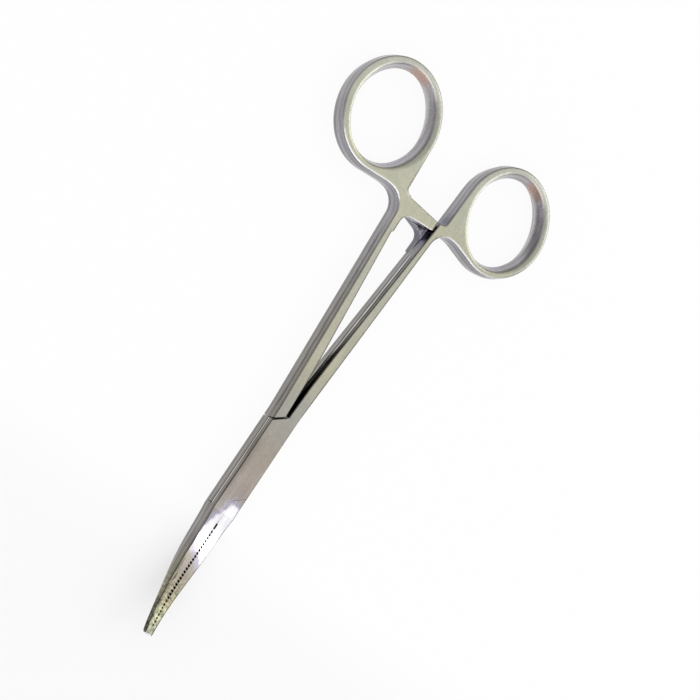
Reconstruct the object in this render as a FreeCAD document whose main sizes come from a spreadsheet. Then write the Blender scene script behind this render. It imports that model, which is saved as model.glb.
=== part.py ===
# Curved hemostat forceps with a box lock, a riveted joint, serrated jaws and a bar ratchet.
# Millimetres. +X runs from the joint to the jaw tip, +Y to the ring of the slotted half, +Z up.
# The origin is on the joint's axis, at the height of the surface that the forceps lies on.

import FreeCAD
import Part
import math
import os

V = FreeCAD.Vector
doc = FreeCAD.newDocument("HemostatForceps")

# Driving dimensions

sizes = {
    # whole body
    "bodyThickness": 5.1,
    "wallDraft": 8.0,
    "holeDraft": 24.0,
    "edgeBreak": 0.15,
    # finger rings, measured at mid height
    "ringReach": 81.9,
    "ringSpread": 20.1,
    "ringHoleLong": 22.6,
    "ringHoleWide": 19.2,
    "ringBandEnd": 2.8,
    "ringBandSide": 3.35,
    # root, where shank, ring and ratchet bar meet: places ahead of and inside the ring's centre
    "rootFrontAhead": 12.85,
    "rootRearAhead": 11.0,
    "rootRound": 4.2,
    "rootRearRound": 1.0,
    "rootWaistInside": 8.1,
    "rootWaistRound": 8.0,
    "rootRearInside": 13.65,
    # shank
    "shankOuterInside": 13.5,
    "shankWidthAtRoot": 1.74,
    "shankInnerAtBend": 1.09,
    "shankInnerAtSag": 0.4,
    "bendReach": 30.0,
    "sagReach": 21.0,
    "shankClearance": 0.12,
    # box lock
    "boxHalfWidth": 3.3,
    "boxRear": 13.0,
    "boxWaistRound": 60.0,
    "boxFront": 12.9,
    "slotRadius": 12.75,
    "slotEndClearance": 0.15,
    "tongueThickness": 1.7,
    "tongueClearance": 0.05,
    "rearShoulder": 10.2,
    "rearShoulderInner": 12.0,
    "frontShoulder": 7.2,
    "frontShoulderInner": 9.2,
    "shoulderStep": 0.45,
    "shoulderRound": 0.8,
    "rearSeam": 0.25,
    "frontSeam": 0.08,
    # joint pin
    "pinDiameter": 3.0,
    "pinHeadDiameter": 4.0,
    "pinHeadDepth": 0.45,
    "pinClearance": 0.05,
    # jaws
    "tipReach": 43.2,
    "gripOffset": 0.1,
    "jawClearance": 0.06,
    "gripStart": 15.5,
    "gripSlitLength": 1.4,
    "gripSlitDepth": 0.2,
    "toothPitch": 0.8,
    "toothDepth": 0.28,
    "toothFlat": 0.24,
    "tipMargin": 1.2,
    "tipRound": 1.0,
    "tipEdgeRound": 0.45,
    "tipSkin": 0.03,
    # ratchet bars
    "upperBarReach": 4.4,
    "lowerBarReach": 3.6,
    "barRearAhead": 11.65,
    "barTipLength": 2.45,
    "barRootLength": 3.95,
    "barRootRound": 2.4,
    "barHeelLength": 5.0,
    "barSkin": 0.3,
    "barSink": 1.2,
    "barTipRound": 0.5,
    "ratchetTeeth": 4,
    "ratchetPitch": 1.7,
    "ratchetDepth": 0.6,
    "ratchetClearance": 0.06,
}

# Jaw stations: share of the jaw's length, top and underside above the table, half width at mid height.
jawStations = {
    "A": {"along": 0.0, "top": 5.1, "under": 0.0, "half": 3.3},
    "B": {"along": 0.11, "top": 5.16, "under": 0.09, "half": 3.0},
    "C": {"along": 0.27, "top": 5.2, "under": 0.4, "half": 2.82},
    "D": {"along": 0.45, "top": 5.12, "under": 1.24, "half": 2.62},
    "E": {"along": 0.64, "top": 5.22, "under": 2.6, "half": 2.2},
    "F": {"along": 0.82, "top": 5.85, "under": 4.1, "half": 1.75},
    "G": {"along": 1.0, "top": 7.3, "under": 6.0, "half": 1.25},
}

sheet = doc.addObject("Spreadsheet::Sheet", "Dimensions")
cells = dict(sizes)
for letter, station in jawStations.items():
    for word, value in station.items():
        cells["jaw" + word.capitalize() + letter] = value
for row, (alias, value) in enumerate(cells.items(), start=1):
    sheet.set("A%d" % row, alias)
    sheet.set("B%d" % row, str(value))
    sheet.setAlias("B%d" % row, alias)
doc.recompute()


def size(alias):
    return float(sheet.get(alias))


halfThickness = size("bodyThickness") / 2
draftWidth = halfThickness * math.tan(math.radians(size("wallDraft")))

# Outlines


def rounded(corners, curves=None):
    """Lines and arcs round a closed outline of (x, y, radius) corners.

    curves gives, by a corner's number, what runs from that corner in place of a straight line.
    """
    pieces = []
    count = len(corners)
    starts = []
    ends = []
    for i in range(count):
        x, y, radius = corners[i]
        here = V(x, y, 0)
        before = V(corners[i - 1][0], corners[i - 1][1], 0)
        after = V(corners[(i + 1) % count][0], corners[(i + 1) % count][1], 0)
        if radius == 0:
            starts.append(here)
            ends.append(here)
            continue
        back = (before - here).normalize()
        ahead = (after - here).normalize()
        half = back.getAngle(ahead) / 2
        reach = radius / math.tan(half)
        middle = here + (back + ahead).normalize() * (radius / math.sin(half))
        starts.append(here + back * reach)
        ends.append(here + ahead * reach)
        crown = middle + (here - middle).normalize() * radius
        pieces.append(Part.Arc(starts[i], crown, ends[i]))
    for i in range(count):
        following = (i + 1) % count
        straight = Part.LineSegment(ends[i], starts[following])
        pieces.append(curves[i] if curves and i in curves else straight)
    return pieces


def mirrored(corners, side):
    return [(x, side * y, radius) for x, y, radius in corners]


def sketchOn(body, name, role, height=None):
    sketch = body.newObject("Sketcher::SketchObject", name)
    plane = [item for item in body.Origin.OriginFeatures if item.Role == role][0]
    sketch.AttachmentSupport = (plane, [""])
    sketch.MapMode = "FlatFace"
    if height:
        sketch.setExpression("AttachmentOffset.Base.z", height)
    return sketch


def pad(body, sketch, name, up, down=None, draft=False):
    feature = body.newObject("PartDesign::Pad", name)
    feature.Profile = sketch
    feature.setExpression("Length", up)
    if down:
        feature.SideType = "Two sides"
        feature.setExpression("Length2", down)
    if draft:
        feature.setExpression("TaperAngle", "-Dimensions.wallDraft")
        feature.setExpression("TaperAngle2", "-Dimensions.wallDraft")
    return feature


def pocket(body, sketch, name, up, down=None, draft=None):
    feature = body.newObject("PartDesign::Pocket", name)
    feature.Profile = sketch
    feature.setExpression("Length", up)
    if down:
        feature.SideType = "Two sides"
        feature.setExpression("Length2", down)
    if draft:
        feature.setExpression("TaperAngle", draft)
        feature.setExpression("TaperAngle2", draft)
    return feature


half = "Dimensions.bodyThickness / 2"
through = "Dimensions.bodyThickness"
margin = 1.5  # how far a cutting outline runs past what it cuts


def ovalArc(quarter, grow):
    """Centre and radius of one of a ring's four arcs, which meet at 45 degrees.

    grow is 0 for the finger hole and 1 for the ring's outer outline. Quarter 0 is the end toward the jaws.
    """
    longHalf = size("ringHoleLong") / 2 + grow * size("ringBandEnd")
    wideHalf = size("ringHoleWide") / 2 + grow * size("ringBandSide")
    extra = longHalf - wideHalf
    offset = extra * (1 + math.sqrt(0.5))
    turn = math.radians(90 * quarter)
    atEnd = quarter % 2 == 0
    shift = offset if atEnd else -offset
    radius = wideHalf - extra * math.sqrt(0.5) if atEnd else longHalf + extra * math.sqrt(0.5)
    centre = V(-size("ringReach") + shift * math.cos(turn), size("ringSpread") + shift * math.sin(turn), 0)
    return centre, radius


def ovalPoint(angle, quarter, grow):
    centre, radius = ovalArc(quarter, grow)
    turn = math.radians(angle)
    return centre + V(radius * math.cos(turn), radius * math.sin(turn), 0)


def ovalCurve(start, stop, quarter, grow, side):
    """Arc of a ring's outline between two angles."""
    points = [ovalPoint(angle, quarter, grow) for angle in (start, (start + stop) / 2, stop)]
    return Part.Arc(*[V(point.x, side * point.y, 0) for point in points])


def tangentAngle(x, y, quarter, way):
    """Angle at which a line from the point (x, y) touches one arc of the ring's outer outline."""
    centre, radius = ovalArc(quarter, 1)
    away = V(x, y, 0) - centre
    return math.degrees(math.atan2(away.y, away.x) + way * math.acos(radius / away.Length))


rootFront = size("rootFrontAhead") - size("ringReach")
rootRear = size("rootRearAhead") - size("ringReach")
shankOuter = size("ringSpread") - size("shankOuterInside")
shankInner = shankOuter - size("shankWidthAtRoot")


def handleCorners(side):
    """Corners of a half's handle from the box lock's wall to the middle, and its ring's outer arcs."""
    waist = size("ringSpread") - size("rootWaistInside")
    rearSide = size("ringSpread") - size("rootRearInside")
    frontTurn = tangentAngle(rootFront, waist, 0, 1)
    rearTurn = tangentAngle(rootRear, rearSide, 3, -1) + 360
    corners = [
        (-size("boxRear"), size("boxHalfWidth"), size("boxWaistRound")),
        (rootFront, shankOuter, size("rootRound")),
        (rootFront, waist, size("rootWaistRound")),
    ]
    turns = [frontTurn, 45, 135, 225, rearTurn]
    curves = {}
    for quarter in range(4):
        point = ovalPoint(turns[quarter], quarter, 1)
        curves[len(corners)] = ovalCurve(turns[quarter], turns[quarter + 1], quarter, 1, side)
        corners.append((point.x, point.y, 0))
    point = ovalPoint(rearTurn, 3, 1)
    corners += [
        (point.x, point.y, 0),
        (rootRear, rearSide, size("rootRearRound")),
        (rootRear, shankInner, 0),
        (-size("bendReach"), size("shankInnerAtBend"), 0),
        (-size("sagReach"), size("shankInnerAtSag"), 0),
        (-size("boxRear"), size("shankClearance") / 2, 0),
    ]
    return mirrored(corners, side), curves


def innerLine(x):
    """How far a shank's inner edge lies from the middle, between its bend and its root."""
    share = (-x - size("bendReach")) / (-rootRear - size("bendReach"))
    return size("shankInnerAtBend") + share * (shankInner - size("shankInnerAtBend"))


def rearShoulder(gap):
    """Corners of the shoulder where a shank enters the box lock, from the wall to the middle."""
    wall = size("boxHalfWidth")
    return [
        (-size("rearShoulder") - gap, wall + margin, 0),
        (-size("rearShoulder") - gap, wall, 0),
        (-size("rearShoulderInner") - gap, size("shoulderStep"), size("shoulderRound")),
    ]


def frontShoulder(gap):
    wall = size("boxHalfWidth")
    return [
        (size("frontShoulderInner") + gap, -size("shoulderStep"), size("shoulderRound") / 2),
        (size("frontShoulder") + gap, -wall, 0),
        (size("frontShoulder") + gap, -wall - margin, 0),
    ]


def cutRingHole(body, side):
    """Hole of a finger ring, whose wall leans in to a ridge at mid height."""
    outline = sketchOn(body, body.Name + "RingHoleOutline", "XY_Plane", half)
    for quarter in range(4):
        outline.addGeometry(ovalCurve(90 * quarter - 45, 90 * quarter + 45, quarter, 0, side), False)
    pocket(body, outline, body.Name + "RingHole", half, half, "Dimensions.holeDraft")


def squareFront(body):
    """The box lock's front end, upright where the jaw goes on."""
    front = size("boxFront")
    wall = size("boxHalfWidth") + margin
    corners = [(front, -wall, 0), (front + 2 * margin, -wall, 0), (front + 2 * margin, wall, 0), (front, wall, 0)]
    outline = sketchOn(body, body.Name + "FrontOutline", "XY_Plane", half)
    outline.addGeometry(rounded(corners), False)
    pocket(body, outline, body.Name + "Front", through, through)


def breakEdges(body):
    """Breaks the edges of the flat top and underside, apart from the front end that the jaw goes on."""
    doc.recompute()
    blank = body.Tip
    edges = []
    for number, edge in enumerate(blank.Shape.Edges, start=1):
        box = edge.BoundBox
        level = box.ZLength < 0.01 and min(abs(box.ZMin), abs(box.ZMax - size("bodyThickness"))) < 0.01
        if level and box.XMin < size("boxFront") - 0.01:
            edges.append("Edge%d" % number)
    broken = body.newObject("PartDesign::Chamfer", body.Name + "EdgeBreak")
    broken.Base = (blank, edges)
    broken.setExpression("Size", "Dimensions.edgeBreak")


def addJaw(body, side):
    """Jaw: tapered and curved upward, with the same leaning walls as the box lock."""
    flat = size("edgeBreak")
    lean = math.radians(size("wallDraft"))
    out = flat * math.sin(lean)
    drop = flat * math.cos(lean)
    root = size("boxFront")
    length = size("tipReach") - root
    sections = []
    for letter in jawStations:
        reach = root + length * size("jawAlong" + letter)
        top = size("jawTop" + letter)
        under = size("jawUnder" + letter)
        wide = size("jawHalf" + letter)
        edge = wide - draftWidth
        face = size("gripOffset") + side * size("jawClearance") / 2
        middle = (top + under) / 2
        sketch = sketchOn(body, body.Name + "JawSection" + letter, "YZ_Plane")
        sketch.AttachmentOffset = FreeCAD.Placement(V(0, 0, reach), FreeCAD.Rotation())
        corners = [
            (face, under, 0),
            (side * (edge - flat), under, 0),
            (side * (edge + out), under + drop, 0),
            (side * wide, middle, 0),
            (side * (edge + out), top - drop, 0),
            (side * (edge - flat), top, 0),
            (face, top, 0),
        ]
        sketch.addGeometry(rounded(corners), False)
        sections.append(sketch)
    jaw = body.newObject("PartDesign::AdditiveLoft", body.Name + "Jaw")
    jaw.Profile = sections[0]
    jaw.Sections = sections[1:]
    jaw.Ruled = False
    jaw.Closed = False


def roundTip(body, side):
    """Rounds the jaw's tip, seen from above and from the side."""
    tip = size("tipReach")
    back = tip - 3 * size("tipRound")
    span = (tip - size("boxFront")) * (size("jawAlongG") - size("jawAlongF"))
    share = (tip - back) / span
    skin = size("tipSkin")  # keeps the straight lines just off the jaw's walls
    wide = size("jawHalfG") + skin
    wideBack = wide + share * (size("jawHalfF") - size("jawHalfG"))
    face = size("gripOffset")
    plan = sketchOn(body, body.Name + "TipPlanOutline", "XY_Plane", half)
    corners = [(back, wideBack, 0), (tip, wide, size("tipRound")), (tip, face, 0)]
    corners += [(tip + margin, face, 0), (tip + margin, wideBack + margin, 0), (back, wideBack + margin, 0)]
    plan.addGeometry(rounded(mirrored(corners, side)), False)
    pocket(body, plan, body.Name + "TipPlan", through, through)
    top = size("jawTopG") + skin
    under = size("jawUnderG") - skin
    topBack = top - share * (size("jawTopG") - size("jawTopF")) * 0.9
    underBack = under - share * (size("jawUnderG") - size("jawUnderF")) * 1.25
    corners = [(back, topBack), (tip, top), (tip, under), (back, underBack)]
    corners = [(x, z, size("tipEdgeRound") if x == tip else 0) for x, z in corners]
    corners += [(back, underBack - margin, 0), (tip + margin, underBack - margin, 0)]
    corners += [(tip + margin, top + margin, 0), (back, top + margin, 0)]
    profile = sketchOn(body, body.Name + "TipSideOutline", "XZ_Plane")
    profile.addGeometry(rounded(corners), False)
    pocket(body, profile, body.Name + "TipSide", "Dimensions.boxHalfWidth * 2", "Dimensions.boxHalfWidth * 2")


def addTeeth(body, side):
    """Transverse serrations along the gripping face, and the relief slit behind them."""
    face = size("gripOffset") + side * size("jawClearance") / 2
    past = size("toothDepth")
    beyond = face - side * past
    pitch = size("toothPitch")
    first = size("gripStart") + size("gripSlitLength") + pitch
    count = int((size("tipReach") - size("tipMargin") - first) / pitch)
    sketch = sketchOn(body, body.Name + "ToothOutlines", "XY_Plane", half)
    slit = face + side * size("gripSlitDepth")
    start = size("gripStart")
    end = start + size("gripSlitLength")
    sketch.addGeometry(rounded([(start, beyond, 0), (end, beyond, 0), (end, slit, 0), (start, slit, 0)]), False)
    reach = (pitch - size("toothFlat")) / 2
    slope = size("toothDepth") / reach
    for i in range(count):
        x = first + i * pitch
        wide = reach + past / slope
        root = face + side * size("toothDepth")
        sketch.addGeometry(rounded([(x - wide, beyond, 0), (x + wide, beyond, 0), (x, root, 0)]), False)
    pocket(body, sketch, body.Name + "Teeth", "Dimensions.bodyThickness * 2", "Dimensions.bodyThickness * 2")


def addBar(body, side, upper):
    """Ratchet bar: half the body's thickness, with teeth on the face toward the other bar."""
    tip = -size("upperBarReach" if upper else "lowerBarReach")
    rear = size("barRearAhead") - size("ringReach")
    front = rear + size("barRootLength")
    heel = front + size("barHeelLength")
    inner = innerLine(front) - size("barSkin")
    sunk = size("barSink")
    corners = [
        (rear, innerLine(rear) + sunk, 0),
        (rear, tip, size("barTipRound")),
        (rear + size("barTipLength"), tip, size("barTipRound")),
        (front, inner, size("barRootRound")),
        (heel, innerLine(heel), 0),
        (heel, innerLine(heel) + sunk, 0),
    ]
    gap = "Dimensions.ratchetClearance / 2"
    height = half + (" + " if upper else " - ") + gap
    sketch = sketchOn(body, body.Name + "BarOutline", "XY_Plane", height)
    sketch.addGeometry(rounded(mirrored(corners, side)), False)
    bar = pad(body, sketch, body.Name + "Bar", half + " - " + gap)
    bar.Reversed = not upper
    # Grooves between the teeth, cut along the bar's underside or top
    depth = size("ratchetDepth")
    face = halfThickness + (1 if upper else -1) * size("ratchetClearance") / 2
    root = face + (depth if upper else -depth)
    beyond = face - (depth if upper else -depth)
    pitch = size("ratchetPitch")
    grooves = sketchOn(body, body.Name + "RatchetOutline", "YZ_Plane")
    grooves.AttachmentOffset = FreeCAD.Placement(V(0, 0, rear - margin), FreeCAD.Rotation())
    for i in range(int(size("ratchetTeeth"))):
        y = tip + size("barTipRound") + i * pitch
        outline = [(y, root), (y + pitch * 0.75, face), (y + pitch * 0.75, beyond), (y, beyond)]
        grooves.addGeometry(rounded([(side * a, b, 0) for a, b in outline]), False)
    cut = pocket(body, grooves, body.Name + "RatchetTeeth", "Dimensions.barRootLength * 2")
    cut.Reversed = True


def finish(body, label):
    body.Label = label
    doc.recompute()


def makeSlottedHalf():
    """Right ring and shank, box with its slot, left jaw and the lower ratchet bar."""
    body = doc.addObject("PartDesign::Body", "SlottedHalf")
    front = size("boxFront")
    wall = size("boxHalfWidth")
    blank, curves = handleCorners(1)
    blank += [(-size("boxRear"), -wall, 0), (front + margin, -wall, 0), (front + margin, wall, 0)]
    outline = sketchOn(body, "SlottedBlankOutline", "XY_Plane", half)
    outline.addGeometry(rounded(blank, curves), False)
    pad(body, outline, "SlottedBlank", half, half, True)
    cutRingHole(body, 1)
    squareFront(body)
    breakEdges(body)
    addBar(body, 1, False)
    addJaw(body, -1)
    roundTip(body, -1)
    # Shoulders that the other half's shank and jaw meet
    shoulders = sketchOn(body, "SlottedShoulderOutline", "XY_Plane", half)
    clear = size("shankClearance") / 2
    face = size("gripOffset") - size("jawClearance") / 2
    rear = [(x, -y, radius) for x, y, radius in rearShoulder(0)]
    rear += [(size("slotEndClearance") - size("slotRadius"), clear, 0)]
    rear += [(-size("boxRear") - margin, clear, 0), (-size("boxRear") - margin, -wall - margin, 0)]
    shoulders.addGeometry(rounded(rear), False)
    fore = [(x, -y, radius) for x, y, radius in frontShoulder(0)]
    fore += [(front + margin, wall + margin, 0), (front + margin, face, 0)]
    fore += [(size("frontShoulderInner") + size("shoulderStep"), face, 0)]
    shoulders.addGeometry(rounded(fore), False)
    pocket(body, shoulders, "SlottedShoulders", through, through)
    # Slot that the other half's tongue turns in
    slot = sketchOn(body, "SlotOutline", "XY_Plane", half)
    slot.addGeometry(Part.Circle(V(0, 0, 0), V(0, 0, 1), size("slotRadius")), False)
    reach = "Dimensions.tongueThickness / 2 + Dimensions.tongueClearance"
    pocket(body, slot, "Slot", reach, reach)
    # Bore and countersinks for the pin
    profile = sketchOn(body, "PinBoreOutline", "XZ_Plane")
    profile.addGeometry(rounded(pinCorners()), False)
    bore = body.newObject("PartDesign::Groove", "PinBore")
    bore.Profile = profile
    bore.ReferenceAxis = (profile, ["V_Axis"])
    bore.Angle = 360
    addTeeth(body, -1)
    finish(body, "slotted_half")
    return body


def pinCorners():
    height = size("bodyThickness")
    shaft = size("pinDiameter") / 2
    head = size("pinHeadDiameter") / 2
    sink = size("pinHeadDepth")
    pairs = [(0, 0), (head, 0), (shaft, sink), (shaft, height - sink), (head, height), (0, height)]
    return [(x, z, 0) for x, z in pairs]


def tongueEnd(start, stop, beyond):
    """Outline of what is cut off past the tongue's end, between two distances from the middle."""
    end = size("slotRadius") - size("slotEndClearance")
    points = []
    for y in (start, (start + stop) / 2, stop):
        points.append(V(math.copysign(math.sqrt(end * end - y * y), beyond), y, 0))
    corners = [(points[0].x, start, 0), (points[2].x, stop, 0), (beyond, stop, 0), (beyond, start, 0)]
    return rounded(corners, {0: Part.Arc(*points)})


def makeTongueHalf():
    """Left ring and shank, tongue through the slot, right jaw and the upper ratchet bar."""
    body = doc.addObject("PartDesign::Body", "TongueHalf")
    front = size("boxFront")
    wall = size("boxHalfWidth")
    face = size("gripOffset") + size("jawClearance") / 2
    clear = size("shankClearance") / 2
    blank, curves = handleCorners(-1)
    blank += [(-size("boxRear"), wall, 0), (front + margin, wall, 0), (front + margin, -wall, 0)]
    outline = sketchOn(body, "TongueBlankOutline", "XY_Plane", half)
    outline.addGeometry(rounded(blank, curves), False)
    pad(body, outline, "TongueBlank", half, half, True)
    cutRingHole(body, -1)
    squareFront(body)
    breakEdges(body)
    addBar(body, -1, True)
    addJaw(body, 1)
    roundTip(body, 1)
    # The tongue's two ends, arcs about the joint's axis
    ends = sketchOn(body, "TongueEndOutline", "XY_Plane", half)
    far = wall + margin
    ends.addGeometry(tongueEnd(-clear, far, -size("boxRear") - margin), False)
    ends.addGeometry(tongueEnd(face, -far, front + margin), False)
    pocket(body, ends, "TongueEnds", through, through)
    # Room for the slotted half's two cheeks, above and below the tongue
    cheek = [(x, -y, radius) for x, y, radius in rearShoulder(size("rearSeam"))]
    cheek += [(-size("boxRear") - margin, -clear, 0), (-size("boxRear") - margin, wall + margin, 0)]
    cheek += [(x, -y, radius) for x, y, radius in reversed(frontShoulder(size("frontSeam")))]
    cheek += [(size("frontShoulderInner") + size("frontSeam") + size("shoulderStep"), face, 0)]
    cheek += [(front + margin, face, 0), (front + margin, -wall - margin, 0)]
    for way, word in ((1, "Upper"), (-1, "Lower")):
        height = half + (" + " if way > 0 else " - ") + "Dimensions.tongueThickness / 2"
        sketch = sketchOn(body, "CheekRoomOutline" + word, "XY_Plane", height)
        sketch.addGeometry(rounded(cheek), False)
        cut = pocket(body, sketch, "CheekRoom" + word, through)
        cut.Reversed = way > 0
    doc.recompute()
    bore = sketchOn(body, "TongueBoreOutline", "XY_Plane", half)
    bore.addGeometry(Part.Circle(V(0, 0, 0), V(0, 0, 1), size("pinDiameter") / 2 + size("pinClearance")), False)
    pocket(body, bore, "TongueBore", through, through)
    addTeeth(body, 1)
    finish(body, "tongue_half")
    return body


def makePin():
    """Rivet of the joint, countersunk at both ends and ground flush."""
    body = doc.addObject("PartDesign::Body", "JointPin")
    profile = sketchOn(body, "PinOutline", "XZ_Plane")
    profile.addGeometry(rounded(pinCorners()), False)
    turned = body.newObject("PartDesign::Revolution", "PinTurned")
    turned.Profile = profile
    turned.ReferenceAxis = (profile, ["V_Axis"])
    turned.Angle = 360
    finish(body, "joint_pin")
    return body


bodies = [makeSlottedHalf(), makeTongueHalf(), makePin()]
doc.recompute()

for item in doc.Objects:
    if "Invalid" in item.State or "Error" in item.State:
        raise RuntimeError("failed: " + item.Name)
os.makedirs("parts", exist_ok=True)
for body in bodies:
    shape = body.Shape
    if shape.isNull() or not shape.isValid():
        raise RuntimeError("bad shape: " + body.Label)
    box = shape.BoundBox
    print(body.Label, len(shape.Solids), round(shape.Volume, 2), box)
    shape.exportStep("parts/" + body.Label + ".step")
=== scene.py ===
import math
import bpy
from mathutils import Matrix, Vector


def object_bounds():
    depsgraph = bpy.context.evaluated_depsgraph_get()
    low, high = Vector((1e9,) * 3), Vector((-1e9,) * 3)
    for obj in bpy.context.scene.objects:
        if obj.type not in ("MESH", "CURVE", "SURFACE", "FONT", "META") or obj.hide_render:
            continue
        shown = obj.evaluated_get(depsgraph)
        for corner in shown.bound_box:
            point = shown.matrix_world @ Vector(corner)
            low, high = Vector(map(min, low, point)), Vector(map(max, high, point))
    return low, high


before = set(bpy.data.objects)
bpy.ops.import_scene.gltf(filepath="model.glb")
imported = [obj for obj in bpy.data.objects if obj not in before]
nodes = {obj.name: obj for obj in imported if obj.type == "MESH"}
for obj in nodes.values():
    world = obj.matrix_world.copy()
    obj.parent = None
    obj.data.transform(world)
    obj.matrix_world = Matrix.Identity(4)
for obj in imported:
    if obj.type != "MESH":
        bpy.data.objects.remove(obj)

from types import SimpleNamespace

import bpy
from mathutils import Quaternion, Vector

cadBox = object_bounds()
print("frame loaded:", sorted(nodes))


# Helpers for node trees

def link(tree, start, end):
    tree.links.new(start, end)


def node(tree, kind, **settings):
    made = tree.nodes.new(kind)
    for key, value in settings.items():
        setattr(made, key, value)
    return made


def newMaterial(name):
    material = bpy.data.materials.new(name)
    material.use_nodes = True
    tree = material.node_tree
    return material, tree, tree.nodes["Principled BSDF"]


def separate(tree, vector):
    made = node(tree, "ShaderNodeSeparateXYZ")
    link(tree, vector, made.inputs[0])
    return tuple(made.outputs)


def mapRange(tree, value, fromLow, fromHigh, toLow=0.0, toHigh=1.0, smooth=True):
    made = node(tree, "ShaderNodeMapRange")
    if smooth:
        made.interpolation_type = "SMOOTHSTEP"
    made.inputs["From Min"].default_value = fromLow
    made.inputs["From Max"].default_value = fromHigh
    made.inputs["To Min"].default_value = toLow
    made.inputs["To Max"].default_value = toHigh
    link(tree, value, made.inputs["Value"])
    return made.outputs["Result"]


def combine(tree, operation, first, second=None):
    made = node(tree, "ShaderNodeMath", operation=operation)
    for socket, value in zip(made.inputs, (first, second)):
        if isinstance(value, (int, float)):
            socket.default_value = value
        elif value is not None:
            link(tree, value, socket)
    return made.outputs[0]


def total(tree, *values):
    result = values[0]
    for value in values[1:]:
        result = combine(tree, "ADD", result, value)
    return result


def product(tree, *values):
    result = values[0]
    for value in values[1:]:
        result = combine(tree, "MULTIPLY", result, value)
    return result


# 1 between two values, with soft limits
def between(tree, value, low, high, soft):
    return product(tree, mapRange(tree, value, low - soft, low + soft),
                   mapRange(tree, value, high + soft, high - soft))


def mixColour(tree, share, first, second):
    made = node(tree, "ShaderNodeMix", data_type="RGBA")
    link(tree, share, made.inputs["Factor"])
    sockets = [socket for socket in made.inputs if socket.type == "RGBA"]
    for socket, value in zip(sockets, (first, second)):
        if isinstance(value, tuple):
            socket.default_value = (*value, 1)
        else:
            link(tree, value, socket)
    return [socket for socket in made.outputs if socket.type == "RGBA"][0]


# A colour times a number from the tree
def scaled(tree, colour, factor):
    made = node(tree, "ShaderNodeVectorMath", operation="SCALE")
    if isinstance(colour, tuple):
        made.inputs[0].default_value = colour
    else:
        link(tree, colour, made.inputs[0])
    link(tree, factor, made.inputs["Scale"])
    return made.outputs[0]


# A colour made lighter or darker by a share of itself
def lifted(tree, colour, share):
    return scaled(tree, colour, total(tree, share, 1.0))


# A colour times a tone where the share is 1
def toned(tree, colour, share, tone):
    return scaled(tree, colour, mapRange(tree, share, 0.0, 1.0, 1.0, tone, smooth=False))


# A ramp over stops of a place and a colour, or of a place and a number from 0 to 1
def ramp(tree, value, stops):
    low, high = stops[0][0], stops[-1][0]
    made = node(tree, "ShaderNodeValToRGB")
    elements = made.color_ramp.elements
    elements.remove(elements[-1])
    for number, (place, colour) in enumerate(stops):
        share = (place - low) / (high - low)
        element = elements[0] if number == 0 else elements.new(share)
        element.position = share
        element.color = (*colour, 1) if isinstance(colour, tuple) else (colour, colour, colour, 1)
    link(tree, mapRange(tree, value, low, high, smooth=False), made.inputs["Fac"])
    return made.outputs["Color"]


# The same for numbers of any size
def numberRamp(tree, value, stops):
    lowest = min(number for place, number in stops)
    highest = max(number for place, number in stops)
    shares = tuple((place, (number - lowest) / (highest - lowest)) for place, number in stops)
    return mapRange(tree, ramp(tree, value, shares), 0.0, 1.0, lowest, highest, smooth=False)


# Scales are per metre; a stretch below 1 draws the pattern out along X
def noise(tree, place, scale, detail, stretch=None):
    made = node(tree, "ShaderNodeTexNoise")
    made.inputs["Scale"].default_value = scale
    made.inputs["Detail"].default_value = detail
    if stretch is not None:
        mapping = node(tree, "ShaderNodeMapping")
        mapping.inputs["Scale"].default_value = (stretch, 1, 1)
        link(tree, place, mapping.inputs["Vector"])
        place = mapping.outputs[0]
    link(tree, place, made.inputs["Vector"])
    return made.outputs["Fac"]


# The middle part of a noise's values, spread from one number to another
def spread(tree, value, low, high, middle=(0.3, 0.7)):
    return mapRange(tree, value, *middle, low, high, smooth=False)


def distance(tree, place, point):
    made = node(tree, "ShaderNodeVectorMath", operation="DISTANCE")
    link(tree, place, made.inputs[0])
    made.inputs[1].default_value = point
    return made.outputs["Value"]


# 1 at a point, fading to 0 at a distance
def nearPoint(tree, place, point, radius):
    return mapRange(tree, distance(tree, place, point), radius, 0.0)


# Satin stainless steel of the two halves and the pin. Places are in metres: X runs from the rings to the
# jaw tips, left is -Y, right is +Y, and Z is up. A pair named From is where a tone starts and where it is
# full. Three numbers are a stretch's two limits and their softness, and four are two places or values with
# the strength at each.

surfaceLook = {
    "flatFrom": (0.55, 0.9),  # size of the normal's Z part
    "wallFrom": (0.6, 0.3),  # flatness, for what shows on walls alone
    "raggedScale": 1100,
    "raggedStretch": 0.5,
    "slowScale": 160,
    "streakScale": 2600,
    "streakStretch": 0.05,
    "streakMiddle": (0.35, 0.65),
    "streakTones": (0.55, 1.5),
}


# Where a point lies, how flat the face is there, and the noises that several tones share
def readSurface(tree):
    look = surfaceLook
    coordinates = node(tree, "ShaderNodeTexCoord")
    place = coordinates.outputs["Object"]
    x, y, z = separate(tree, place)
    upward = separate(tree, coordinates.outputs["Normal"])[2]
    flatness = mapRange(tree, combine(tree, "ABSOLUTE", upward), *look["flatFrom"])
    streakNoise = noise(tree, place, look["streakScale"], detail=2, stretch=look["streakStretch"])
    return SimpleNamespace(
        place=place, x=x, y=y, z=z, flatness=flatness,
        onWall=mapRange(tree, flatness, *look["wallFrom"]),
        ragged=noise(tree, place, look["raggedScale"], detail=4, stretch=look["raggedStretch"]),
        slow=noise(tree, place, look["slowScale"], detail=2),
        streaks=spread(tree, streakNoise, *look["streakTones"], look["streakMiddle"]),
    )


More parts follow.
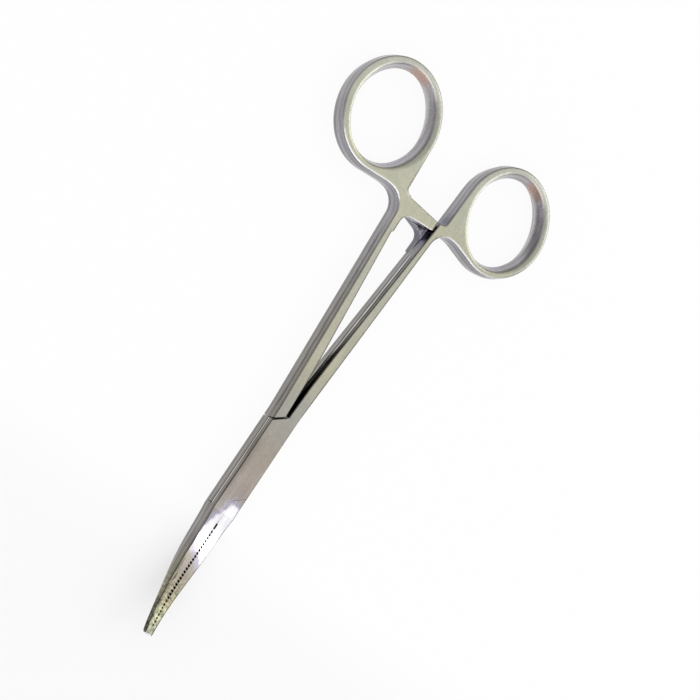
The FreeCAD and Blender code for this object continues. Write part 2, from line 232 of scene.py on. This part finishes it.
flatFaces = {
    # colour along X; its changes along X are painted reflections of the surroundings
    "along": (
        (-0.097, (0.51, 0.51, 0.45)),  # rings
        (-0.076, (0.49, 0.49, 0.40)),
        (-0.068, (0.51, 0.50, 0.38)),  # ring roots
        (-0.050, (0.50, 0.49, 0.41)),  # shanks
        (-0.025, (0.46, 0.44, 0.34)),
        (-0.013, (0.40, 0.39, 0.35)),  # back of the box lock
        (-0.003, (0.37, 0.325, 0.28)),
        (0.006, (0.36, 0.315, 0.285)),
        (0.012, (0.36, 0.325, 0.30)),  # jaws
        (0.028, (0.35, 0.315, 0.28)),
        (0.034, (0.36, 0.33, 0.22)),
        (0.040, (0.44, 0.44, 0.30)),  # tips
        (0.044, (0.58, 0.58, 0.45)),
    ),
    "ragged": 0.0009,  # how far the fine and the slow noise move a tone along X
    "slow": 0.002,
    # where and how much painted shade darkens the box lock's left side
    "paintedBoxShadeFrom": (-0.0010, -0.0032),
    "paintedBoxShadeAlong": (-0.005, 0.009, 0.003),
    "paintedBoxShadeTone": 0.72,
}


# Painted reflections: colour by place with ragged limits; and painted shade that darkens the box lock towards
# its left edge
def flatColour(tree, spot):
    look = flatFaces
    unevenX = total(tree, spot.x, spread(tree, spot.ragged, -look["ragged"], look["ragged"]),
                    spread(tree, spot.slow, -look["slow"], look["slow"]))
    colour = ramp(tree, unevenX, look["along"])
    # painted shade darkens the box lock towards its left edge
    paintedBoxShade = product(tree, mapRange(tree, spot.y, *look["paintedBoxShadeFrom"]),
                      between(tree, spot.x, *look["paintedBoxShadeAlong"]))
    return toned(tree, colour, paintedBoxShade, look["paintedBoxShadeTone"])


jawHighlight = {
    # colours of the painted highlight and of its lilac fringe
    "colour": (0.88, 0.87, 0.91),
    "fringe": (0.41, 0.385, 0.46),
    "ragged": 0.0008,
    "slow": 0.0012,
    "startSlant": 1.9,  # how far the start moves to the rings for each metre to the right
    "startSlantUntil": 0.0007,  # place across, past which it moves no further
    "startFrom": (0.0068, 0.0150),
    "endSlant": -1.17,  # the same for the end, which moves to the tips
    "endFrom": (0.0262, 0.0212),
    "fringeFrom": (0.0, 0.5),
    "colourFrom": (0.5, 0.85),
}


# A painted highlight across the jaws, between two slanting ragged limits, with a lilac fringe; the jaw lamp's
# real reflection brightens it further
def paintJawHighlight(tree, spot, colour):
    look = jawHighlight
    uneven = total(tree, spread(tree, spot.ragged, -look["ragged"], look["ragged"]),
                   spread(tree, spot.slow, -look["slow"], look["slow"]))
    startSlant = product(tree, combine(tree, "MINIMUM", spot.y, look["startSlantUntil"]), look["startSlant"])
    endSlant = product(tree, spot.y, look["endSlant"])
    bright = product(tree, mapRange(tree, total(tree, spot.x, startSlant, uneven), *look["startFrom"]),
                     mapRange(tree, total(tree, spot.x, endSlant, uneven), *look["endFrom"]))
    colour = mixColour(tree, mapRange(tree, bright, *look["fringeFrom"]), colour, look["fringe"])
    return mixColour(tree, mapRange(tree, bright, *look["colourFrom"]), colour, look["colour"])


jawSide = {
    # left limit of the flat strip of the jaws, along X
    "limitAlong": (
        (0.0, -0.0036),
        (0.012, -0.0033),
        (0.021, -0.0023),
        (0.027, -0.0015),
        (0.033, -0.0011),
        (0.044, -0.0007),
    ),
    "ragged": 0.00025,
    "soft": 0.0002,
    "jawFrom": (0.0115, 0.0135),
    # colour of the painted shade
    "colour": (0.23, 0.21, 0.16),
}


# Painted shade, streaked, where the jaws' left side rounds down to the wall
def shadeJawSide(tree, spot, colour):
    look = jawSide
    beside = combine(tree, "SUBTRACT", numberRamp(tree, spot.x, look["limitAlong"]), spot.y)
    beside = total(tree, beside, spread(tree, spot.ragged, -look["ragged"], look["ragged"]))
    share = product(tree, mapRange(tree, spot.x, *look["jawFrom"]),
                    mapRange(tree, beside, -look["soft"], look["soft"]))
    return mixColour(tree, share, colour, scaled(tree, look["colour"], spot.streaks))


walls = {
    "thickness": 0.0051,
    # painted reflections: tone by height, as a share of the thickness
    "bands": (
        (0.0, 1.25),
        (0.08, 0.85),
        (0.18, 0.58),
        (0.30, 0.56),
        (0.40, 1.0),
        (0.55, 1.15),
        (0.66, 0.85),
        (0.80, 1.1),
        (0.91, 0.75),
        (1.0, 0.55),
    ),
    # colour along X, kept dark as painted shade
    "along": (
        (-0.097, (0.34, 0.325, 0.335)),
        (-0.070, (0.30, 0.29, 0.31)),
        (-0.045, (0.235, 0.225, 0.21)),
        (-0.010, (0.22, 0.205, 0.185)),
        (0.020, (0.215, 0.205, 0.20)),
        (0.034, (0.26, 0.245, 0.17)),
        (0.044, (0.32, 0.32, 0.22)),
    ),
    "waverScale": 220,
    "waverStretch": 0.25,
    "waver": 0.06,
    "streaksFrom": (-0.068, -0.055),
    "streaks": (0.1, 0.4),  # strength on the rings and on the rest
}


# Side walls: painted shade that keeps them darker than the tops, painted reflections in bands by height that
# waver along the length, and streaks
def wallShadingAndStreaks(tree, spot):
    look = walls
    waver = noise(tree, spot.place, look["waverScale"], detail=2, stretch=look["waverStretch"])
    height = total(tree, combine(tree, "DIVIDE", spot.z, look["thickness"]),
                   spread(tree, waver, -look["waver"], look["waver"]))
    bands = numberRamp(tree, height, look["bands"])
    colour = scaled(tree, ramp(tree, spot.x, look["along"]), bands)
    strength = mapRange(tree, spot.x, *look["streaksFrom"], *look["streaks"])
    return lifted(tree, colour, product(tree, combine(tree, "SUBTRACT", spot.streaks, 1.0), strength))


# Lines at set heights: lowest and highest Z, softness, and how much lighter or darker
shankLines = {
    "along": (-0.060, -0.014, 0.002),
    "rightFrom": (0.0003, 0.0006),
    "right": (
        (0.0033, 0.0036, 0.00008, 2.3),
        (0.0028, 0.0031, 0.0001, -0.55),
        (0.0038, 0.0043, 0.0001, -0.55),
    ),
    "left": ((0.0032, 0.0037, 0.00015, -0.4),),
}
slotEdge = {
    "along": (-0.0105, 0.0122, 0.0003),
    "leftFrom": (-0.0010, -0.0014),
    "lines": (
        (0.00352, 0.00378, 0.00006, 2.2),
        (0.00320, 0.00345, 0.00006, -0.6),
        (0.00385, 0.00405, 0.00006, -0.55),
    ),
}


def heightLines(tree, spot, lines):
    return total(tree, *(product(tree, between(tree, spot.z, low, high, soft), strength)
                         for low, high, soft, strength in lines))


# A thin painted highlight along the right shank's wall, as of a ridge, with painted shade either side; a
# painted shade line along the left one's, as of a crease
def drawShankLines(tree, spot, colour):
    look = shankLines
    right = mapRange(tree, spot.y, *look["rightFrom"])
    left = combine(tree, "SUBTRACT", 1.0, right)
    lines = total(tree, product(tree, right, heightLines(tree, spot, look["right"])),
                  product(tree, left, heightLines(tree, spot, look["left"])))
    return lifted(tree, colour, product(tree, lines, between(tree, spot.x, *look["along"])))


# Painted highlight and painted shade lines at the slot's edge on the left wall of the box lock
def drawSlotEdge(tree, spot, colour):
    look = slotEdge
    share = product(tree, between(tree, spot.x, *look["along"]), mapRange(tree, spot.y, *look["leftFrom"]),
                    spot.onWall)
    return lifted(tree, colour, product(tree, heightLines(tree, spot, look["lines"]), share))


rings = {
    "centres": ((-0.0819, 0.0201, 0.0025), (-0.0819, -0.0201, 0.0025)),
    "insideFrom": (0.0130, 0.0123),  # distance from a centre
    "shadeFrom": (0.0129, 0.0118),
    "rightHalfFrom": (0.003, 0.008),
    "shadeTone": 0.66,
    "insideTone": 1.3,
}


# Shares: inside a ring, and the inner half of a ring's top on its right side, which takes painted shade
def readRings(tree, spot):
    look = rings
    inside = 0.0
    shade = 0.0
    for centre in look["centres"]:
        away = distance(tree, spot.place, centre)
        inside = combine(tree, "MAXIMUM", inside, mapRange(tree, away, *look["insideFrom"]))
        rightHalf = mapRange(tree, combine(tree, "SUBTRACT", spot.y, centre[1]), *look["rightHalfFrom"])
        shaded = product(tree, rightHalf, mapRange(tree, away, *look["shadeFrom"]))
        shade = combine(tree, "MAXIMUM", shade, shaded)
    return inside, shade


wallReflectionTints = {
    "ringColour": (0.46, 0.29, 0.22),
    "ringPlaces": ((-0.0942, -0.0200, 0.0036), (-0.0942, 0.0228, 0.0036)),
    "ringReach": 0.0058,
    "ringStreaks": (0.5, 1.5, 0.6, 1.3),
    "ringShare": (0.1, 1.0, 0.0, 0.85),
    "ratchetColour": (0.15, 0.15, 0.20),
    "ratchetPlace": (-0.0690, 0.0030, 0.0030),
    "ratchetReach": 0.009,
    "ratchetShare": (0.0, 0.5, 0.0, 0.8),
}


# Painted reflections: reddish ones inside the rings, and a bluish one at the ratchet
def paintWallReflections(tree, spot, colour):
    look = wallReflectionTints
    for point in look["ringPlaces"]:
        red = product(tree, nearPoint(tree, spot.place, point, look["ringReach"]), spot.onWall,
                      mapRange(tree, spot.streaks, *look["ringStreaks"]))
        colour = mixColour(tree, mapRange(tree, red, *look["ringShare"]), colour, look["ringColour"])
    blue = product(tree, nearPoint(tree, spot.place, look["ratchetPlace"], look["ratchetReach"]), spot.onWall)
    return mixColour(tree, mapRange(tree, blue, *look["ratchetShare"]), colour, look["ratchetColour"])


edges = {
    # how far the edges look rounded, along X
    "radiusAlong": (
        (-0.097, 0.0009),
        (-0.075, 0.0008),
        (-0.060, 0.0006),
        (-0.02, 0.0005),
        (-0.012, 0.0),
        (0.044, 0.0),
    ),
    "samples": 6,
    "weightX": 0.8,
    "topFrom": (0.35, 0.6),
    "brightWeightY": 0.2,
    "brightFrom": (0.16, 0.36),
    "brightAlong": (-0.090, -0.081, 0.2, 1.0),
    # colour of the painted highlights on edges
    "brightColour": (0.92, 0.92, 0.95),
    "brightShare": 0.85,
    "edgeShadeWeightY": (-0.080, -0.070, 0.12, 0.6),
    "edgeShadeWeightInRings": 0.45,  # added inside the rings
    "edgeShadeFrom": (-0.14, -0.34),
    "edgeShadeInRings": 0.6,
    "edgeShadeTone": 0.38,
    "rightFrom": (0.07, 0.24),
    "rightUntilX": (0.35, 0.2),
    "rightAlong": (-0.086, -0.070, 0.4, 1.0),
    # painted shade on edges that face right
    "rightTone": 0.1,
}


# A normal that runs round the edges
def roundedNormal(tree, spot):
    rounded = node(tree, "ShaderNodeBevel", samples=edges["samples"])
    link(tree, numberRamp(tree, spot.x, edges["radiusAlong"]), rounded.inputs["Radius"])
    return rounded.outputs[0]


# Painted highlights on rounded edges that face the jaws, painted shade on those that face the rings, and
# darker painted shade on what faces right
def shadeEdges(tree, spot, colour, normal, inside):
    look = edges
    turned = node(tree, "ShaderNodeVectorTransform", vector_type="NORMAL",
                  convert_from="WORLD", convert_to="OBJECT")
    link(tree, normal, turned.inputs[0])
    normalX, normalY, normalZ = separate(tree, turned.outputs[0])
    forward = product(tree, normalX, look["weightX"])
    top = mapRange(tree, normalZ, *look["topFrom"])

    facing = total(tree, forward, product(tree, normalY, look["brightWeightY"]))
    bright = product(tree, mapRange(tree, facing, *look["brightFrom"]), top,
                     mapRange(tree, spot.x, *look["brightAlong"]))
    colour = mixColour(tree, product(tree, bright, look["brightShare"]), colour, look["brightColour"])

    weightY = total(tree, mapRange(tree, spot.x, *look["edgeShadeWeightY"]),
                    product(tree, inside, look["edgeShadeWeightInRings"]))
    facing = total(tree, forward, product(tree, normalY, weightY))
    edgeShade = product(tree, mapRange(tree, facing, *look["edgeShadeFrom"]), top,
                   mapRange(tree, inside, 0.0, 1.0, 1.0, look["edgeShadeInRings"]))
    colour = toned(tree, colour, edgeShade, look["edgeShadeTone"])

    right = product(tree, mapRange(tree, normalY, *look["rightFrom"]),
                    combine(tree, "SUBTRACT", 1.0, inside),
                    mapRange(tree, forward, *look["rightUntilX"]),
                    mapRange(tree, spot.x, *look["rightAlong"]))
    return toned(tree, colour, right, look["rightTone"])


marks = {
    "scuffColour": (0.62, 0.60, 0.50),
    "scuffPlace": (-0.0075, -0.0004, 0.0051),
    "scuffReach": 0.0018,
    "scuffFrom": (0.5, 0.62),
    "scuffShare": 0.7,
    "sunkShadeColour": (0.30, 0.29, 0.34),
    "sunkShadeHeight": (0.0004, 0.0046, 0.0001),
    "sunkShadeShare": 0.85,
    "blotchScale": 90,
    "blotchTones": (0.92, 1.08),
    "mottleScale": 1500,
    "mottleMiddle": (0.35, 0.65),
    "mottleTones": (-0.45, 0.55),
    "mottleAlong": (0.026, 0.036, 0.08, 1.0),
}


# A scuff on the box lock, painted shade on the sunk lower ratchet bar, slow blotches and a mottled tip
def addMarks(tree, spot, colour):
    look = marks
    scuff = product(tree, nearPoint(tree, spot.place, look["scuffPlace"], look["scuffReach"]),
                    mapRange(tree, spot.ragged, *look["scuffFrom"]), spot.flatness)
    colour = mixColour(tree, product(tree, scuff, look["scuffShare"]), colour, look["scuffColour"])
    # painted shade on the sunk lower ratchet bar
    sunkShade = product(tree, spot.flatness, between(tree, spot.z, *look["sunkShadeHeight"]))
    colour = mixColour(tree, product(tree, sunkShade, look["sunkShadeShare"]), colour, look["sunkShadeColour"])
    blotches = noise(tree, spot.place, look["blotchScale"], detail=3)
    colour = scaled(tree, colour, spread(tree, blotches, *look["blotchTones"]))
    mottle = noise(tree, spot.place, look["mottleScale"], detail=3)
    mottle = spread(tree, mottle, *look["mottleTones"], look["mottleMiddle"])
    return lifted(tree, colour, product(tree, mottle, mapRange(tree, spot.x, *look["mottleAlong"])))


seamAndShadeMarks = {
    "seamSlant": 0.728,  # how far the seam moves to the rings for each metre to the right
    "seamAlong": (-0.01278, -0.01210, 0.0001),
    "seamAcross": (-0.0034, 0.0001, 0.0001),
    # half width of the box lock and jaws, along X
    "halfAlong": (
        (0.008, 0.0033),
        (0.0129, 0.0033),
        (0.0162, 0.0030),
        (0.0265, 0.00262),
        (0.0323, 0.0022),
        (0.0432, 0.00125),
    ),
    # painted shade along the jaws' right rim
    "rimFrom": (0.00065, 0.00045),  # distance in from the right edge
    "rimAlong": (0.004, 0.012, 0.05, 0.9),
    # painted shade in the spaces between the teeth
    "toothStart": 0.0155,
    "toothEnd": 0.0352,
    "toothEndsSoft": 0.0014,
    "toothPitch": 0.0008,
    "toothGap": (0.25, 0.75, 0.12),  # share of the pitch
    "toothReach": (0.016, 0.030, 0.00012, 0.00034),  # two places along X, and the half length across at each
    "toothReachSoft": 0.00005,
    "tone": 0.05,
}


# Darkening: the seam behind the box lock, and painted shade in the spaces between the teeth and along the
# jaws' right rim
def darkenSeamAndShade(tree, spot, colour):
    look = seamAndShadeMarks
    alongSeam = total(tree, spot.x, product(tree, spot.y, look["seamSlant"]))
    seam = product(tree, between(tree, alongSeam, *look["seamAlong"]),
                   between(tree, spot.y, *look["seamAcross"]), spot.flatness)
    fromEdge = combine(tree, "SUBTRACT", numberRamp(tree, spot.x, look["halfAlong"]), spot.y)
    rim = product(tree, mapRange(tree, fromEdge, *look["rimFrom"]), mapRange(tree, spot.x, *look["rimAlong"]))

    pitches = combine(tree, "DIVIDE", combine(tree, "SUBTRACT", spot.x, look["toothStart"]),
                      look["toothPitch"])
    inGap = between(tree, combine(tree, "FRACT", pitches), *look["toothGap"])
    reach = mapRange(tree, spot.x, *look["toothReach"], smooth=False)
    past = combine(tree, "SUBTRACT", combine(tree, "ABSOLUTE", spot.y), reach)
    nearMiddle = mapRange(tree, past, look["toothReachSoft"], -look["toothReachSoft"])
    toothed = between(tree, spot.x, look["toothStart"], look["toothEnd"], look["toothEndsSoft"])
    teeth = product(tree, inGap, nearMiddle, toothed)
    dark = combine(tree, "MAXIMUM", combine(tree, "MAXIMUM", seam, teeth), rim)
    return toned(tree, colour, dark, look["tone"])


grinding = {
    "roughAlong": (
        (-0.097, 0.2),
        (-0.02, 0.17),
        (0.004, 0.16),
        (0.010, 0.10),
        (0.023, 0.10),
        (0.029, 0.34),
        (0.044, 0.38),
    ),
    "scale": 1400,
    "stretch": 0.06,
    "roughness": (-0.04, 0.05),
    "bump": 0.05,
    "depth": 0.0001,
}


# Fine grinding lines along the instrument
def grind(tree, spot, shader, normal):
    look = grinding
    grain = noise(tree, spot.place, look["scale"], detail=4, stretch=look["stretch"])
    rough = total(tree, numberRamp(tree, spot.x, look["roughAlong"]),
                  spread(tree, grain, *look["roughness"]))
    link(tree, rough, shader.inputs["Roughness"])
    bump = node(tree, "ShaderNodeBump")
    bump.inputs["Strength"].default_value = look["bump"]
    bump.inputs["Distance"].default_value = look["depth"]
    link(tree, grain, bump.inputs["Height"])
    link(tree, normal, bump.inputs["Normal"])
    link(tree, bump.outputs["Normal"], shader.inputs["Normal"])


# Its colour carries painted light: reflections, highlights and shade laid on by place
def makeSteel(name):
    material, tree, shader = newMaterial(name)
    shader.inputs["Metallic"].default_value = 1.0
    spot = readSurface(tree)
    inside, ringShade = readRings(tree, spot)

    top = flatColour(tree, spot)
    top = paintJawHighlight(tree, spot, top)
    top = shadeJawSide(tree, spot, top)
    top = toned(tree, top, ringShade, rings["shadeTone"])

    # painted reflection: inside the rings the walls see each other, so they get a paler tone
    wall = wallShadingAndStreaks(tree, spot)
    wall = drawShankLines(tree, spot, wall)
    wall = toned(tree, wall, inside, rings["insideTone"])

    colour = mixColour(tree, spot.flatness, wall, top)
    colour = drawSlotEdge(tree, spot, colour)
    colour = paintWallReflections(tree, spot, colour)
    normal = roundedNormal(tree, spot)
    colour = shadeEdges(tree, spot, colour, normal, inside)
    colour = addMarks(tree, spot, colour)
    colour = darkenSeamAndShade(tree, spot, colour)
    link(tree, colour, shader.inputs["Base Color"])
    grind(tree, spot, shader, normal)
    return material


steelMaterial = makeSteel("satinSteel")
for name in ("slotted_half", "tongue_half", "joint_pin"):
    mesh = nodes[name].data
    mesh.materials.clear()
    mesh.materials.append(steelMaterial)
print("materials set")


# Floor, world, lamps

studio = {
    "floorSize": 6.0,
    "floorColour": (0.8, 0.8, 0.8, 1),
    "floorRoughness": 0.9,
    "floorSpecular": 0.1,
    # share of plain white that the camera and reflections see on the floor, along X
    "whiteAlong": ((-0.12, 0.93), (0.015, 0.93), (0.034, 0.5), (0.07, 0.5), (0.16, 0.9)),
    "worldLight": 0.95,
    "farLight": 0.9,  # added on the +X side
    "farFrom": (0.55, 0.85),
    "nearLight": -0.1,  # taken away on the -Y side
    "nearFrom": (-0.5, -0.8),
}
lamps = {
    "keyLamp": {"place": (-0.65, 1.0, 0.6), "aim": (0, 0, 0), "size": (1.1, 0.9), "power": 5.5},
    # seen in the smoother stretch of the jaws, over their painted highlight
    "jawLamp": {"place": (0.030, 0.521, 1.0), "aim": (0.02, 0, 0), "size": (0.05, 0.35), "power": 0.13},
}


# 1 for camera, glossy and transmission rays
def seenDirectly(tree):
    rays = node(tree, "ShaderNodeLightPath")
    seen = combine(tree, "MAXIMUM", rays.outputs["Is Camera Ray"], rays.outputs["Is Glossy Ray"])
    return combine(tree, "MAXIMUM", seen, rays.outputs["Is Transmission Ray"])


def makeFloor():
    bpy.ops.object.select_all(action="DESELECT")
    bpy.ops.mesh.primitive_plane_add(size=studio["floorSize"], location=(0, 0, cadBox[0].z))
    floor = bpy.context.object
    floor.name = "floor"
    material, tree, shader = newMaterial("paleFloor")
    shader.inputs["Base Color"].default_value = studio["floorColour"]
    shader.inputs["Roughness"].default_value = studio["floorRoughness"]
    shader.inputs["Specular IOR Level"].default_value = studio["floorSpecular"]
    white = node(tree, "ShaderNodeEmission")
    white.inputs["Strength"].default_value = 1.0  # plain white
    mixed = node(tree, "ShaderNodeMixShader")
    x = separate(tree, node(tree, "ShaderNodeTexCoord").outputs["Object"])[0]
    share = product(tree, seenDirectly(tree), numberRamp(tree, x, studio["whiteAlong"]))
    link(tree, share, mixed.inputs["Fac"])
    link(tree, shader.outputs[0], mixed.inputs[1])
    link(tree, white.outputs[0], mixed.inputs[2])
    link(tree, mixed.outputs[0], tree.nodes["Material Output"].inputs["Surface"])
    floor.data.materials.append(material)


def makeWorld():
    world = bpy.data.worlds.new("studio")
    bpy.context.scene.world = world
    world.use_nodes = True
    tree = world.node_tree
    background = tree.nodes["Background"]
    background.inputs["Color"].default_value = (1, 1, 1, 1)
    x, y, z = separate(tree, node(tree, "ShaderNodeTexCoord").outputs["Generated"])
    far = mapRange(tree, x, *studio["farFrom"], 0.0, studio["farLight"])
    near = mapRange(tree, y, *studio["nearFrom"], 0.0, studio["nearLight"])
    link(tree, total(tree, far, near, studio["worldLight"]), background.inputs["Strength"])


def makeLamp(name, place, aim, size, power):
    data = bpy.data.lights.new(name, "AREA")
    data.shape = "RECTANGLE"
    data.size, data.size_y = size
    data.energy = power
    lamp = bpy.data.objects.new(name, data)
    bpy.context.scene.collection.objects.link(lamp)
    lamp.location = place
    lamp.rotation_mode = "QUATERNION"
    lamp.rotation_quaternion = (Vector(place) - Vector(aim)).to_track_quat("Z", "Y")


makeFloor()
makeWorld()
for name, values in lamps.items():
    makeLamp(name, **values)
print("studio set")


# Camera at the photograph's viewing angle

view = {
    "place": (0.02019, -0.13288, 0.25944),
    "aim": (-0.03346, 0.00367, 0.0051),
    "roll": 104.84,  # degrees about the line of sight
    "lens": 66.364,
    "sensor": 36.0,
    "clipStart": 0.01,
}


def makeCamera():
    data = bpy.data.cameras.new("photoCamera")
    data.lens = view["lens"]
    data.sensor_width = view["sensor"]
    data.clip_start = view["clipStart"]
    camera = bpy.data.objects.new("photoCamera", data)
    bpy.context.scene.collection.objects.link(camera)
    camera.location = view["place"]
    camera.rotation_mode = "QUATERNION"
    back = Vector(view["place"]) - Vector(view["aim"])
    level = back.to_track_quat("Z", "Y")
    camera.rotation_quaternion = level @ Quaternion((0, 0, 1), math.radians(view["roll"]))
    bpy.context.scene.camera = camera


makeCamera()
bpy.context.scene.view_settings.view_transform = "Standard"
print("camera set")
